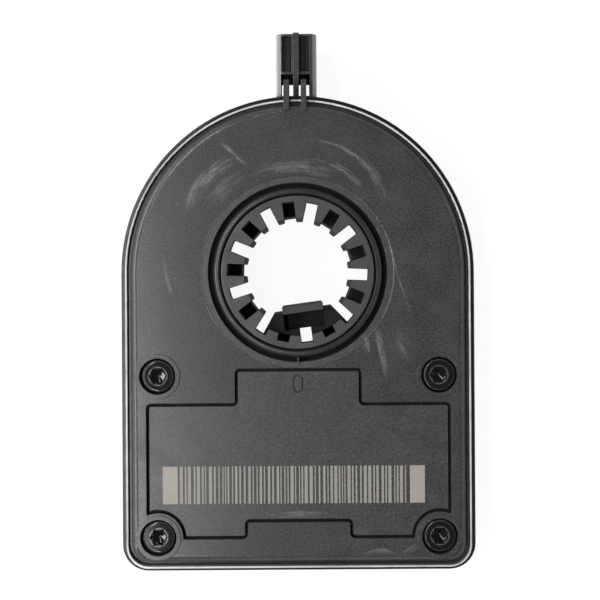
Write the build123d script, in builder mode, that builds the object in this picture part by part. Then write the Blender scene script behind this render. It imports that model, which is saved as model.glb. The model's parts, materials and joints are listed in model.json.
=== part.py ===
from build123d import *
from math import acos, cos, pi, radians, sin, tan
import os

# Steering angle sensor. The origin is on the hub's axis, in the plane of the front face.
# +Z points out of the rear cover, along the hub's axis, and +Y points out of the plug socket.

# Body
body_half_width = 37.93
body_bottom = -64.0
body_corner_radius = 5.6
wall = 2.5
floor_thickness = 2.0
rim_top = 16.8
rim_width = 1.35
rim_edge_radius = 0.45
rim_inner_radius = 0.3
front_edge_radius = 1.0
front_ring_gap = 0.9
front_ring_width = 2.5
front_ring_depth = 0.4
boss_rib = 1.2

# Rear cover, in a pocket inside the rim
pocket_depth = 1.0
cover_thickness = 2.2
cover_gap = 0.6
cover_edge_radius = 1.7

# Hub with its driving slots and its gear
hub_radius = 16.45
hub_low = 0.3
hub_rise = 0.3
hub_rest_angle = 7.6
hub_edge_radius = 0.35
tooth_tip_radius = 11.55
tooth_corner_radius = 0.35
slot_outer_radius = 15.1
slot_width = 2.55
slot_draft = 1.0
slot_pairs = 9
through_slot_angle = 270.0
flange_overlap = 0.6
closed_slot_depth = 8.6
closed_slot_wall = 0.75
running_clearance = 0.07
cover_bore_clearance = 0.28
axial_play = 0.2

# Key block in the hub, in the hub's own directions
key_chord = 8.3
key_chord_half = 6.4
key_foot_half = 9.35
key_foot = 12.3
key_low = 2.3
key_top_drop = 2.5
key_outer_radius = 13.6
key_slot_radius = 12.2
key_bar_inner = 7.1
key_bar_thickness = 1.05
key_bar_half = 4.4
key_bar_drop = 1.0
key_bar_overlap = 0.3
key_channel_depth = 3.0

# Gears
gear_module = 0.8
pressure_angle = 20.0
hub_teeth = 50
gear_a_teeth = 24
gear_b_teeth = 22
gear_a_angle = 250.0
gear_b_angle = 291.0
addendum = 0.9 * gear_module
dedendum = 1.25 * gear_module
tooth_thinning = 0.06
centre_allowance = 0.05
flange_low = 6.0
flange_height = 3.0
gear_face_inset = 0.2
sleeve_gap = 0.3
bore_end = 0.6
post_radius = 1.5
post_foot_radius = 3.0
post_foot_height = 1.0
sleeve_radius = 3.6
magnet_radius = 2.5
magnet_height = 2.2
magnet_clearance = 0.03
web_drop = 0.6
web_rim = 1.6

# Bearing collars round the hub, each ring outside the one before
outer_collar_width = 1.32
outer_collar_rise = 0.6
outer_collar_edge = 0.6
cover_bore_lead = 0.25
collar_foot = 0.55
moat_width = 1.15
moat_depth = 1.3
moat_slope = 0.3
dish_width = 1.4
dish_depth = 0.12
dish_slope = 0.15
index_width = 0.5
index_length = 2.2
index_rise = 0.15

# Circuit board
board_drop = 3.6
board_thickness = 1.6
board_gap = 0.5
board_hub_clearance = 0.7
standoff_radius = 2.2
stake_radius = 0.9
stake_rise = 0.8
hole_clearance = 0.1
standoff_side_inset = 8.93
standoff_upper_y = 8.0
standoff_screw_gap = 10.1
standoff_bottom_inset = 12.0

# Cover screws and their seats
screw_side_inset = 7.83
screw_bottom_inset = 7.4
screw_upper_y = -22.1
screw_head_radius = 3.6
screw_head_height = 2.4
screw_head_edge = 0.7
screw_shank_radius = 1.75
screw_length = 10.5
screw_tip = 1.2
screw_seat_depth = 2.8
screw_seat_thickness = 1.6
counterbore_clearance = 0.28
screw_hole_clearance = 0.3
pilot_clearance = 0.05
pilot_end = 0.9
cover_boss_wall = 0.62
housing_boss_wall = 2.4
pad_width = 0.92
pad_rise = 0.15
recess_radius = 1.42
recess_lobe_radius = 0.42
recess_lobe_distance = 1.55
recess_depth = 1.3
recess_cone = 0.6

# Marked panel on the cover
panel_gap = 0.25
panel_tab_half = 13.25
panel_tab_height = 7.38
panel_side_inset = 5.68
panel_corner = 0.8
panel_screw_gap = 0.85
panel_notch_half = 11.25
panel_notch_height = 3.54
panel_depth = 0.1
groove_width = 0.7
groove_depth = 1.3
mark_drop = 2.9
mark_width = 2.3
mark_height = 3.9
mark_line = 0.35
mark_depth = 0.4

# Plug socket
socket_half = 4.4
socket_low = 2.6
socket_rim_drop = 1.2
socket_reach = 13.52
socket_wall = 1.3
neck_length = 4.82
socket_floor = 1.3
socket_corner = 1.6
socket_flare = 0.7
neck_gap_start = 0.1
neck_walls = (1.1, 1.5)
centre_plate = (-0.72, 0.52)
carriers = ((-2.8, -1.62), (0.96, 2.08))
carrier_dip = 3.0
window_foot_inset = 0.6
window_mouth_inset = 0.5
window_depth = 0.7
windows = ((-3.1, -1.15), (0.6, 2.7))
window_rib = 0.4
rib = (-0.7, 0.55)
rib_rise = 0.7
rib_reach = 1.2
rib_bump = 0.15

# Terminal pins
pin_size = 0.6
pin_clearance = 0.02
pin_pitch = 2.4
pin_row_drop = 0.3
pin_step = 2.5
pin_bend_inset = 5.6
pin_tip_inset = 3.5
pin_rise = 0.8

# Tongues of the cover over the rim and the neck
tongue_inset = 3.3
tongue_reach = 3.17
tongue_clearance = 0.15
tongue_rise = 0.3
tongue_foot = 1.4

# Electronics, with heights from the body's lower edge
chip_edge = 0.15
lead_width = 0.4
lead_height = 0.3
lead_reach = 1.0
angle_chip = (4.9, 3.9, 1.3)
controller_size = (9.7, 4.4, 1.2)
transceiver_size = (4.9, 3.9, 1.4)
regulator_size = (6.5, 3.5, 1.6)
controller_height = 19.5
side_chip_height = 21.5
transceiver_x = -21.5
regulator_x = 20.5
resonator_x = 10.5
resonator_length = 5.0
resonator_width = 3.2
resonator_thickness = 1.1
buffer_height = 13.5
buffer_radius = 3.15
buffer_length = 5.4
buffer_base = 0.8
buffer_corner = 0.9
capacitor_length = 2.0
capacitor_width = 1.25
capacitor_thickness = 0.9
lower_capacitor_x = 9.0
side_capacitor_x = -13.5
upper_capacitor_height = 27.0

# Heights and radii that follow from these
cover_seat = rim_top - pocket_depth
cover_top = cover_seat + cover_thickness
cover_inset = rim_width + cover_gap
hub_high = cover_top + hub_rise
cover_bore_radius = hub_radius + cover_bore_clearance
housing_bore_radius = hub_radius + running_clearance
closed_slot_inner_radius = tooth_tip_radius + closed_slot_wall
closed_slot_angle = through_slot_angle + 180 / slot_pairs
outer_collar_radius = cover_bore_radius + outer_collar_width
collar_outer_radius = outer_collar_radius + collar_foot
moat_outer_radius = outer_collar_radius + moat_width
dish_outer_radius = moat_outer_radius + dish_width
front_ring_radius = collar_outer_radius + front_ring_gap
board_low = cover_seat - board_drop
board_high = board_low + board_thickness
flange_high = flange_low + flange_height
gear_low = flange_low + gear_face_inset
gear_high = flange_high - gear_face_inset
sleeve_low = floor_thickness + post_foot_height + axial_play
sleeve_high = board_low - sleeve_gap
post_top = sleeve_high - magnet_height - bore_end - axial_play
gear_teeth = {"a": gear_a_teeth, "b": gear_b_teeth}
gear_angle = {"a": gear_a_angle, "b": gear_b_angle}

# Places that follow from the body
screw_x = body_half_width - screw_side_inset
screw_lower_y = body_bottom + screw_bottom_inset
screw_places = [(x, y) for y in (screw_upper_y, screw_lower_y) for x in (-screw_x, screw_x)]
screw_seat = cover_top - screw_seat_depth
cover_boss_low = screw_seat - screw_seat_thickness
pilot_bottom = screw_seat - screw_length - pilot_end
counterbore_radius = screw_head_radius + counterbore_clearance
pad_radius = counterbore_radius + pad_width
cover_boss_radius = counterbore_radius + cover_boss_wall
pilot_radius = screw_shank_radius + pilot_clearance
standoff_x = body_half_width - standoff_side_inset
standoffs = [(side * standoff_x, standoff_upper_y) for side in (-1, 1)]
standoffs += [
    (side * (screw_x - standoff_screw_gap), body_bottom + standoff_bottom_inset) for side in (-1, 1)
]
panel_top = -dish_outer_radius - panel_gap
panel_shoulder = panel_top - panel_tab_height
panel_half = body_half_width - panel_side_inset
panel_screw_radius = pad_radius + panel_screw_gap
panel_notch_top = screw_lower_y + panel_notch_height
mark_centre = panel_top - mark_drop
socket_high = rim_top - socket_rim_drop
socket_middle = (socket_low + socket_high) / 2
socket_mouth = body_half_width + socket_reach
socket_floor_low = body_half_width + neck_length
tongue_end = body_half_width + tongue_reach
pin_columns = [sum(carrier) / 2 for carrier in carriers]
pin_rows = [socket_middle - pin_row_drop + step * pin_pitch for step in (-1, 0, 1)]
pin_first_bend = body_half_width - pin_bend_inset
pin_bends = [pin_first_bend - pin_step * row for row in reversed(range(len(pin_rows)))]
controller_y = body_bottom + controller_height
side_chip_y = body_bottom + side_chip_height
buffer_y = body_bottom + buffer_height
capacitor_places = [
    (-lower_capacitor_x, buffer_y),
    (side_capacitor_x, controller_y),
    (lower_capacitor_x, buffer_y),
    (0.0, body_bottom + upper_capacitor_height),
]


def pitch_radius(teeth):
    """Gives a gear's pitch radius."""
    return gear_module * teeth / 2


def gear_centre(name):
    """Gives the place of a measuring gear's axis."""
    distance = pitch_radius(hub_teeth) + pitch_radius(gear_teeth[name]) + centre_allowance
    direction = radians(gear_angle[name])
    return distance * cos(direction), distance * sin(direction)


def gear_phase(name):
    """Gives the angle of a tooth that lets a measuring gear mesh with the hub at rest."""
    pitch_angle = 360 / gear_teeth[name]
    hub_phase = (hub_rest_angle - gear_angle[name]) * hub_teeth / 360
    return gear_angle[name] + 180 - pitch_angle * (0.5 + hub_phase)


def polar(radius, angle):
    """Gives the point at a radius and an angle in radians."""
    return radius * cos(angle), radius * sin(angle)


def gear_edges(teeth, phase):
    """Adds the outline of an involute gear to the line that is being built."""
    pitch = pitch_radius(teeth)
    base = pitch * cos(radians(pressure_angle))
    root, tip = pitch - dedendum, pitch + addendum

    def half_angle(radius):
        """Gives half the tooth's angle at a radius."""
        slope = acos(min(1.0, base / radius))
        rolled = tan(radians(pressure_angle)) - radians(pressure_angle) - tan(slope) + slope
        return (pi * gear_module / 2 - tooth_thinning) / (2 * pitch) + rolled

    step = 2 * pi / teeth
    for tooth in range(teeth):
        middle = radians(phase) + tooth * step
        low, mid, high = (half_angle(radius) for radius in (root, pitch, tip))
        ThreePointArc(
            polar(root, middle - low), polar(pitch, middle - mid), polar(tip, middle - high)
        )
        Line(polar(tip, middle - high), polar(tip, middle + high))
        ThreePointArc(
            polar(tip, middle + high), polar(pitch, middle + mid), polar(root, middle + low)
        )
        Line(polar(root, middle + low), polar(root, middle + step - low))


def body_edges(inset):
    """Adds the outline of the body, drawn in by an inset, to the line that is being built."""
    half = body_half_width - inset
    low = body_bottom + inset
    FilletPolyline((half, 0), (half, low), (-half, low), (-half, 0), radius=body_corner_radius - inset)
    ThreePointArc((-half, 0), (0, half), (half, 0))


def panel_edges():
    """Adds the outline of the marked panel to the line that is being built."""
    reach = panel_screw_radius
    side_low = screw_lower_y + (reach**2 - (panel_half - screw_x) ** 2) ** 0.5
    for side in (-1, 1):
        FilletPolyline(
            (0, panel_top),
            (side * panel_tab_half, panel_top),
            (side * panel_tab_half, panel_shoulder),
            (side * panel_half, panel_shoulder),
            (side * panel_half, side_low),
            radius=panel_corner,
        )
        ThreePointArc(
            (side * panel_half, side_low),
            (side * (screw_x - reach * cos(pi / 4)), screw_lower_y + reach * sin(pi / 4)),
            (side * (screw_x - reach), screw_lower_y),
        )
        FilletPolyline(
            (side * (screw_x - reach), screw_lower_y),
            (side * panel_notch_half, screw_lower_y),
            (side * panel_notch_half, panel_notch_top),
            (0, panel_notch_top),
            radius=panel_corner,
        )


def key_edges():
    """Adds the outline of the key block's sector to the line that is being built."""
    half = [(key_chord_half, -key_chord), (key_foot_half, -key_foot), (key_foot_half, -hub_radius)]
    Polyline(*half, *((-x, y) for x, y in reversed(half)), close=True)


def across(y):
    """Gives the plane across the socket at a height y, with x to the right and z up the page."""
    return Plane.XZ.offset(-y)


def hub_plane(z):
    """Gives the plane across the hub at a height z, turned to the hub's rest angle."""
    return Plane.XY.offset(z).rotated((0, 0, hub_rest_angle))


def strip(x_range, y_range):
    """Adds a rectangle between two x values and two y values to the sketch that is being built."""
    middle = ((x_range[0] + x_range[1]) / 2, (y_range[0] + y_range[1]) / 2)
    with Locations(middle):
        Rectangle(x_range[1] - x_range[0], y_range[1] - y_range[0])


# Each chip's place, size and leads on a side
chips = {
    "angle_chip_a": (gear_centre("a"), angle_chip, 4),
    "angle_chip_b": (gear_centre("b"), angle_chip, 4),
    "controller_chip": ((0.0, controller_y), controller_size, 10),
    "bus_transceiver": ((transceiver_x, side_chip_y), transceiver_size, 4),
    "voltage_regulator": ((regulator_x, side_chip_y), regulator_size, 3),
}

os.makedirs("parts", exist_ok=True)

# Front housing: shell, bearing collar, bosses, gear posts, stand-offs and plug socket
with BuildPart() as front_housing:
    with BuildSketch():
        with BuildLine():
            body_edges(0)
        make_face()
    extrude(amount=rim_top)
    fillet(front_housing.faces().sort_by(Axis.Z)[0].edges(), front_edge_radius)
    fillet(front_housing.faces().sort_by(Axis.Z)[-1].edges(), rim_edge_radius)

    # Block of the plug socket, with a flare where it leaves the wall
    with BuildSketch(across(body_half_width - wall)):
        with Locations((0, socket_middle)):
            RectangleRounded(2 * socket_half, socket_high - socket_low, socket_corner)
    extrude(amount=-(socket_mouth - body_half_width + wall))
    mouth_and_sides = 16
    fillet(front_housing.edges(Select.LAST).sort_by(Axis.Y)[:-mouth_and_sides], socket_flare)

    # Room for the mechanism and the board, and the wider pocket for the cover
    with BuildSketch(Plane.XY.offset(floor_thickness)):
        with BuildLine():
            body_edges(wall)
        make_face()
    extrude(amount=rim_top, mode=Mode.SUBTRACT)
    with BuildSketch(Plane.XY.offset(cover_seat)):
        with BuildLine():
            body_edges(rim_width)
        make_face()
    extrude(amount=rim_top, mode=Mode.SUBTRACT)
    fillet(front_housing.edges(Select.LAST).group_by(Axis.Z)[-1], rim_inner_radius)

    # Bearing collar of the hub, with the bore and the ring recess in the front face
    with BuildSketch():
        Circle(collar_outer_radius)
    extrude(amount=flange_low - axial_play)
    with BuildSketch():
        Circle(front_ring_radius + front_ring_width)
        Circle(front_ring_radius, mode=Mode.SUBTRACT)
    extrude(amount=front_ring_depth, mode=Mode.SUBTRACT)
    with BuildSketch():
        Circle(housing_bore_radius)
    extrude(amount=flange_low, mode=Mode.SUBTRACT)

    # Screw bosses, each tied to the side wall by a rib
    with BuildSketch(Plane.XY.offset(floor_thickness)):
        with Locations(*screw_places):
            Circle(pilot_radius + housing_boss_wall)
        for y in (screw_upper_y, screw_lower_y):
            for side in (-1, 1):
                strip(
                    sorted((side * screw_x, side * (body_half_width - wall / 2))),
                    (y - boss_rib / 2, y + boss_rib / 2),
                )
    extrude(amount=cover_boss_low - floor_thickness)
    with BuildSketch(Plane.XY.offset(pilot_bottom)):
        with Locations(*screw_places):
            Circle(pilot_radius)
    extrude(amount=cover_boss_low, mode=Mode.SUBTRACT)

    # Posts of the measuring gears
    with BuildSketch(Plane.XY.offset(floor_thickness)):
        with Locations(gear_centre("a"), gear_centre("b")):
            Circle(post_foot_radius)
    extrude(amount=post_foot_height)
    with BuildSketch(Plane.XY.offset(floor_thickness)):
        with Locations(gear_centre("a"), gear_centre("b")):
            Circle(post_radius)
    extrude(amount=post_top - floor_thickness)

    # Stand-offs of the board, each with a stake
    with BuildSketch(Plane.XY.offset(floor_thickness)):
        with Locations(*standoffs):
            Circle(standoff_radius)
    extrude(amount=board_low - floor_thickness)
    with BuildSketch(Plane.XY.offset(board_low)):
        with Locations(*standoffs):
            Circle(stake_radius)
    extrude(amount=board_thickness + stake_rise)

    # Gaps of the neck, which leave side walls, a centre plate and the carriers of the pins
    edges_x = (neck_walls[0] - socket_half, *carriers[0], *centre_plate, *carriers[1])
    edges_x = (*edges_x, socket_half - neck_walls[1])
    with BuildSketch(Plane.XY.offset(socket_low - socket_wall)):
        for left, right in zip(edges_x[::2], edges_x[1::2]):
            strip((left, right), (body_half_width + neck_gap_start, socket_floor_low))
    extrude(amount=socket_high, mode=Mode.SUBTRACT)

    # Dips in the carriers between the ends of the cover's tongues and the socket
    with BuildSketch(Plane.XY.offset(socket_high)):
        for carrier in carriers:
            strip(carrier, (tongue_end, socket_floor_low))
    extrude(amount=-carrier_dip, mode=Mode.SUBTRACT)

    # Hollow of the socket
    with BuildSketch(across(socket_mouth)):
        with Locations((0, socket_middle)):
            RectangleRounded(
                2 * (socket_half - socket_wall),
                socket_high - socket_low - 2 * socket_wall,
                socket_corner - socket_wall,
            )
    extrude(amount=socket_mouth - socket_floor_low - socket_floor, mode=Mode.SUBTRACT)

    # Windows beside the long rib, each with a thin rib of its own
    window_span = (socket_floor_low + window_foot_inset, socket_mouth - window_mouth_inset)
    rib_foot = body_half_width + rib_reach
    with BuildSketch(Plane.XY.offset(socket_high)):
        for window in windows:
            strip(window, window_span)
    extrude(amount=-window_depth, mode=Mode.SUBTRACT)
    with BuildSketch(Plane.XY.offset(socket_high - window_depth)):
        for window in windows:
            rib_right = window[1] - window_rib / 2
            strip((rib_right - window_rib, rib_right), window_span)
    extrude(amount=window_depth / 2)
    with BuildSketch(Plane.XY.offset(socket_high)):
        with BuildLine():
            Polyline(
                (rib[0], socket_mouth + rib_bump),
                (rib[0], socket_floor_low),
                (rib[0] / 2, rib_foot),
                (rib[1] / 2, rib_foot),
                (rib[1], socket_floor_low),
                (rib[1], socket_mouth + rib_bump),
                close=True,
            )
        make_face()
    extrude(amount=rib_rise)

    # Passages of the terminal pins
    with BuildSketch(across(body_half_width - 2 * wall)):
        with Locations(*((x, z) for x in pin_columns for z in pin_rows)):
            Rectangle(pin_size + 2 * pin_clearance, pin_size + 2 * pin_clearance)
    extrude(amount=-(socket_floor_low + socket_floor - body_half_width + 2 * wall), mode=Mode.SUBTRACT)
front_housing.part.label = "front_housing"
export_step(front_housing.part, "parts/front_housing.step")

# Rear cover: plate, collar round the hub, screw seats, marked panel and tongues
with BuildPart() as rear_cover:
    with BuildSketch(Plane.XY.offset(cover_seat)):
        with BuildLine():
            body_edges(cover_inset)
        make_face()
    extrude(amount=cover_top - cover_seat)
    fillet(rear_cover.faces().sort_by(Axis.Z)[-1].edges(), cover_edge_radius)
    with BuildSketch(Plane.XY.offset(cover_seat)):
        Circle(dish_outer_radius)
    extrude(amount=cover_top, mode=Mode.SUBTRACT)

    # Collar, moat and dish round the hub, turned as one profile
    collar_high = cover_top + outer_collar_rise
    dish_floor = cover_top - dish_depth
    with BuildSketch(Plane.XZ):
        with BuildLine():
            Polyline(
                (outer_collar_radius - outer_collar_edge, collar_high),
                (cover_bore_radius + cover_bore_lead, collar_high),
                (cover_bore_radius, collar_high - cover_bore_lead),
                (cover_bore_radius, flange_high + axial_play),
                (collar_outer_radius, flange_high + axial_play),
                (collar_outer_radius, cover_seat),
                (dish_outer_radius, cover_seat),
                (dish_outer_radius, cover_top),
                (dish_outer_radius - dish_slope, dish_floor),
                (moat_outer_radius, dish_floor),
                (moat_outer_radius - moat_slope, cover_top - moat_depth),
                (outer_collar_radius, cover_top - moat_depth),
                (outer_collar_radius, collar_high - outer_collar_edge),
            )
            rounding = outer_collar_edge * (1 - 0.5**0.5)
            ThreePointArc(
                (outer_collar_radius, collar_high - outer_collar_edge),
                (outer_collar_radius - rounding, collar_high - rounding),
                (outer_collar_radius - outer_collar_edge, collar_high),
            )
        make_face()
    revolve(axis=Axis.Z)
    with BuildSketch(Plane.XY.offset(cover_top - moat_depth)):
        index_start = outer_collar_radius - outer_collar_edge
        strip((-index_width / 2, index_width / 2), (-index_start - index_length, -index_start))
    extrude(amount=moat_depth + index_rise)

    # Marked panel: a shallow field inside a groove, with an oval index mark
    with BuildSketch(Plane.XY.offset(cover_top)):
        with BuildLine():
            panel_edges()
        make_face()
    extrude(amount=-panel_depth, mode=Mode.SUBTRACT)
    with BuildSketch(Plane.XY.offset(cover_top)) as groove:
        with BuildLine():
            panel_edges()
        make_face()
        offset(amount=groove_width / 2)
        offset(groove.sketch, amount=-groove_width, mode=Mode.SUBTRACT)
    extrude(amount=-groove_depth, mode=Mode.SUBTRACT)
    with BuildSketch(Plane.XY.offset(cover_top)):
        with Locations((0, mark_centre)):
            SlotOverall(mark_height, mark_width, rotation=90)
            SlotOverall(mark_height - 2 * mark_line, mark_width - 2 * mark_line, 90, mode=Mode.SUBTRACT)
    extrude(amount=-(panel_depth + mark_depth), mode=Mode.SUBTRACT)

    # Screw seats: bosses below, pads above, counterbores and holes
    with BuildSketch(Plane.XY.offset(cover_boss_low)):
        with Locations(*screw_places):
            Circle(cover_boss_radius)
    extrude(amount=cover_seat - cover_boss_low)
    with BuildSketch(Plane.XY.offset(cover_seat)):
        with Locations(*screw_places):
            Circle(pad_radius)
    extrude(amount=cover_top + pad_rise - cover_seat)
    with BuildSketch(Plane.XY.offset(screw_seat)):
        with Locations(*screw_places):
            Circle(counterbore_radius)
    extrude(amount=cover_top, mode=Mode.SUBTRACT)
    with BuildSketch(Plane.XY.offset(cover_boss_low)):
        with Locations(*screw_places):
            Circle(screw_shank_radius + screw_hole_clearance)
    extrude(amount=cover_top, mode=Mode.SUBTRACT)

    # Tongues that reach over the rim and stand on the carriers of the neck
    tongue_low = rim_top + tongue_clearance
    with BuildSketch(Plane.XY.offset(tongue_low)):
        for carrier in carriers:
            strip(carrier, (body_half_width - tongue_inset, tongue_end))
    extrude(amount=cover_top + tongue_rise - tongue_low)
    with BuildSketch(Plane.XY.offset(socket_high)):
        for carrier in carriers:
            strip(carrier, (tongue_end - tongue_foot, tongue_end))
    extrude(amount=tongue_low - socket_high)
rear_cover.part.label = "rear_cover"
export_step(rear_cover.part, "parts/rear_cover.step")

# Hub: tube with driving slots, through and closed in turn, the gear flange and the key block
closed_slot_floor = hub_high - closed_slot_depth
key_top = hub_high - key_top_drop
hub_length = hub_high - hub_low
with BuildPart() as slot_drafts:
    with BuildSketch(hub_plane(hub_low)):
        with PolarLocations(key_outer_radius, slot_pairs, start_angle=through_slot_angle):
            Rectangle(key_outer_radius, slot_width, align=(Align.MIN, Align.CENTER))
    extrude(amount=hub_length)
    with Locations((0, 0, hub_low)):
        Cone(
            slot_outer_radius + slot_draft,
            slot_outer_radius,
            hub_length,
            align=(Align.CENTER, Align.CENTER, Align.MIN),
            mode=Mode.INTERSECT,
        )
with BuildPart() as hub:
    with BuildSketch(hub_plane(hub_low)) as tube:
        Circle(hub_radius)
        Circle(tooth_tip_radius, mode=Mode.SUBTRACT)
        for reach, first in (
            (slot_outer_radius, through_slot_angle),
            (closed_slot_inner_radius, closed_slot_angle),
        ):
            with PolarLocations(0, slot_pairs, start_angle=first):
                Rectangle(reach, slot_width, align=(Align.MIN, Align.CENTER), mode=Mode.SUBTRACT)
        fillet(tube.vertices().sort_by_distance((0, 0))[: 4 * slot_pairs], tooth_corner_radius)
    extrude(amount=hub_length)
    fillet(
        hub.edges().filter_by(GeomType.CIRCLE).group_by(Axis.Z)[-1].sort_by(SortBy.RADIUS)[-1],
        hub_edge_radius,
    )
    with BuildSketch(Plane.XY.offset(flange_low)):
        with BuildLine():
            gear_edges(hub_teeth, hub_rest_angle)
        make_face()
        Circle(hub_radius - flange_overlap, mode=Mode.SUBTRACT)
    extrude(amount=flange_high - flange_low)

    # Draft of the through slots, and the closed slots, cut to their floor behind the teeth
    add(slot_drafts.part, mode=Mode.SUBTRACT)
    with BuildSketch(hub_plane(closed_slot_floor)):
        with PolarLocations(0, slot_pairs, start_angle=closed_slot_angle):
            Rectangle(slot_outer_radius, slot_width, align=(Align.MIN, Align.CENTER))
    extrude(amount=closed_slot_depth, mode=Mode.SUBTRACT)

    # Room over the key block, then the block, which leaves the outer ends of its slots open
    with BuildSketch(hub_plane(key_top)):
        with BuildLine():
            key_edges()
        make_face()
        Circle(key_outer_radius, mode=Mode.INTERSECT)
    extrude(amount=key_top_drop, mode=Mode.SUBTRACT)
    for low, high, closed_from in (
        (key_low, closed_slot_floor, slot_outer_radius),
        (closed_slot_floor, key_top, key_outer_radius),
    ):
        with BuildSketch(hub_plane(low)):
            with BuildLine():
                key_edges()
            make_face()
            Circle(slot_outer_radius, mode=Mode.INTERSECT)
            with PolarLocations(key_slot_radius, 1, start_angle=through_slot_angle):
                Rectangle(hub_radius, slot_width, align=(Align.MIN, Align.CENTER), mode=Mode.SUBTRACT)
            if closed_from < slot_outer_radius:
                for angle in (closed_slot_angle, 2 * through_slot_angle - closed_slot_angle):
                    with PolarLocations(closed_from, 1, start_angle=angle):
                        Rectangle(
                            hub_radius, slot_width, align=(Align.MIN, Align.CENTER), mode=Mode.SUBTRACT
                        )
        extrude(amount=high - low)

    # Channel behind the bar, and the bar at the block's inner face
    with BuildSketch(hub_plane(key_top)):
        strip((-key_bar_half, key_bar_half), (-key_slot_radius, -key_bar_inner - key_bar_thickness))
    extrude(amount=-key_channel_depth, mode=Mode.SUBTRACT)
    with BuildSketch(hub_plane(key_low)):
        strip((-key_bar_half, key_bar_half), (-key_chord - key_bar_overlap, -key_bar_inner))
    extrude(amount=hub_high - key_bar_drop - key_low)
hub.part.label = "hub"
export_step(hub.part, "parts/hub.step")

# Measuring gears, each with a sleeve that turns on its post and holds its magnet
for name, teeth in gear_teeth.items():
    x, y = gear_centre(name)
    with BuildPart() as measuring_gear:
        with BuildSketch(Plane.XY.offset(gear_low).move(Location((x, y, 0)))):
            with BuildLine():
                gear_edges(teeth, gear_phase(name))
            make_face()
        extrude(amount=gear_high - gear_low)
        for z, amount in ((gear_low, web_drop), (gear_high, -web_drop)):
            with BuildSketch(Plane.XY.offset(z)):
                with Locations((x, y)):
                    Circle(pitch_radius(teeth) - dedendum - web_rim)
            extrude(amount=amount, mode=Mode.SUBTRACT)
        with BuildSketch(Plane.XY.offset(sleeve_low)):
            with Locations((x, y)):
                Circle(sleeve_radius)
        extrude(amount=sleeve_high - sleeve_low)
        with BuildSketch(Plane.XY.offset(sleeve_low)):
            with Locations((x, y)):
                Circle(post_radius + running_clearance)
        extrude(amount=post_top + axial_play - sleeve_low, mode=Mode.SUBTRACT)
        with BuildSketch(Plane.XY.offset(sleeve_high)):
            with Locations((x, y)):
                Circle(magnet_radius + magnet_clearance)
        extrude(amount=-magnet_height, mode=Mode.SUBTRACT)
    measuring_gear.part.label = f"measuring_gear_{name}"
    export_step(measuring_gear.part, f"parts/measuring_gear_{name}.step")

    with BuildPart() as magnet:
        with BuildSketch(Plane.XY.offset(sleeve_high - magnet_height)):
            with Locations((x, y)):
                Circle(magnet_radius)
        extrude(amount=magnet_height)
    magnet.part.label = f"magnet_{name}"
    export_step(magnet.part, f"parts/magnet_{name}.step")

# Circuit board, cut out round the hub's collar and the screw bosses
with BuildPart() as circuit_board:
    with BuildSketch(Plane.XY.offset(board_low)):
        with BuildLine():
            body_edges(wall + board_gap)
        make_face()
        Circle(collar_outer_radius + board_hub_clearance, mode=Mode.SUBTRACT)
    extrude(amount=board_thickness)
    with BuildSketch(Plane.XY.offset(board_low)):
        reach = cover_boss_radius + board_gap
        for x, y in screw_places:
            side = 1 if x > 0 else -1
            strip((x - side * reach, side * body_half_width), (y - reach, y + reach))
        with Locations(*standoffs):
            Circle(stake_radius + hole_clearance)
        with Locations(*((x, y) for x in pin_columns for y in pin_bends)):
            Circle(pin_size / 2 ** 0.5 + hole_clearance)
    extrude(amount=board_thickness, mode=Mode.SUBTRACT)
circuit_board.part.label = "circuit_board"
export_step(circuit_board.part, "parts/circuit_board.step")

# Chips on the board: a moulded body over two rows of leads
for name, (place, (length, width, height), leads) in chips.items():
    with BuildPart() as chip:
        with BuildSketch(Plane.XY.offset(board_high + lead_height / 2)):
            with Locations(place):
                Rectangle(length, width)
        extrude(amount=height - lead_height / 2)
        chamfer(chip.faces().sort_by(Axis.Z)[-1].edges(), chip_edge)
        with BuildSketch(Plane.XY.offset(board_high)):
            with Locations(place):
                with GridLocations(length / leads, 0, leads, 1):
                    Rectangle(lead_width, width + 2 * lead_reach)
        extrude(amount=lead_height)
    chip.part.label = name
    export_step(chip.part, f"parts/{name}.step")

# Resonator, buffer capacitor and small capacitors
with BuildPart() as resonator:
    with BuildSketch(Plane.XY.offset(board_high)):
        with Locations((resonator_x, controller_y)):
            SlotOverall(resonator_length, resonator_width)
    extrude(amount=resonator_thickness)
resonator.part.label = "resonator"
export_step(resonator.part, "parts/resonator.step")

with BuildPart() as buffer_capacitor:
    with BuildSketch(Plane.XY.offset(board_low)):
        with Locations((0, buffer_y)):
            RectangleRounded(2 * buffer_radius, 2 * buffer_radius, buffer_corner)
    extrude(amount=-buffer_base)
    with BuildSketch(Plane.XY.offset(board_low - buffer_base)):
        with Locations((0, buffer_y)):
            Circle(buffer_radius)
    extrude(amount=-(buffer_length - buffer_base))
buffer_capacitor.part.label = "buffer_capacitor"
export_step(buffer_capacitor.part, "parts/buffer_capacitor.step")

for number, place in enumerate(capacitor_places, 1):
    with BuildPart() as capacitor:
        with BuildSketch(Plane.XY.offset(board_high)):
            with Locations(place):
                Rectangle(capacitor_length, capacitor_width)
        extrude(amount=capacitor_thickness)
    capacitor.part.label = f"capacitor_{number}"
    export_step(capacitor.part, f"parts/capacitor_{number}.step")

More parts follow.
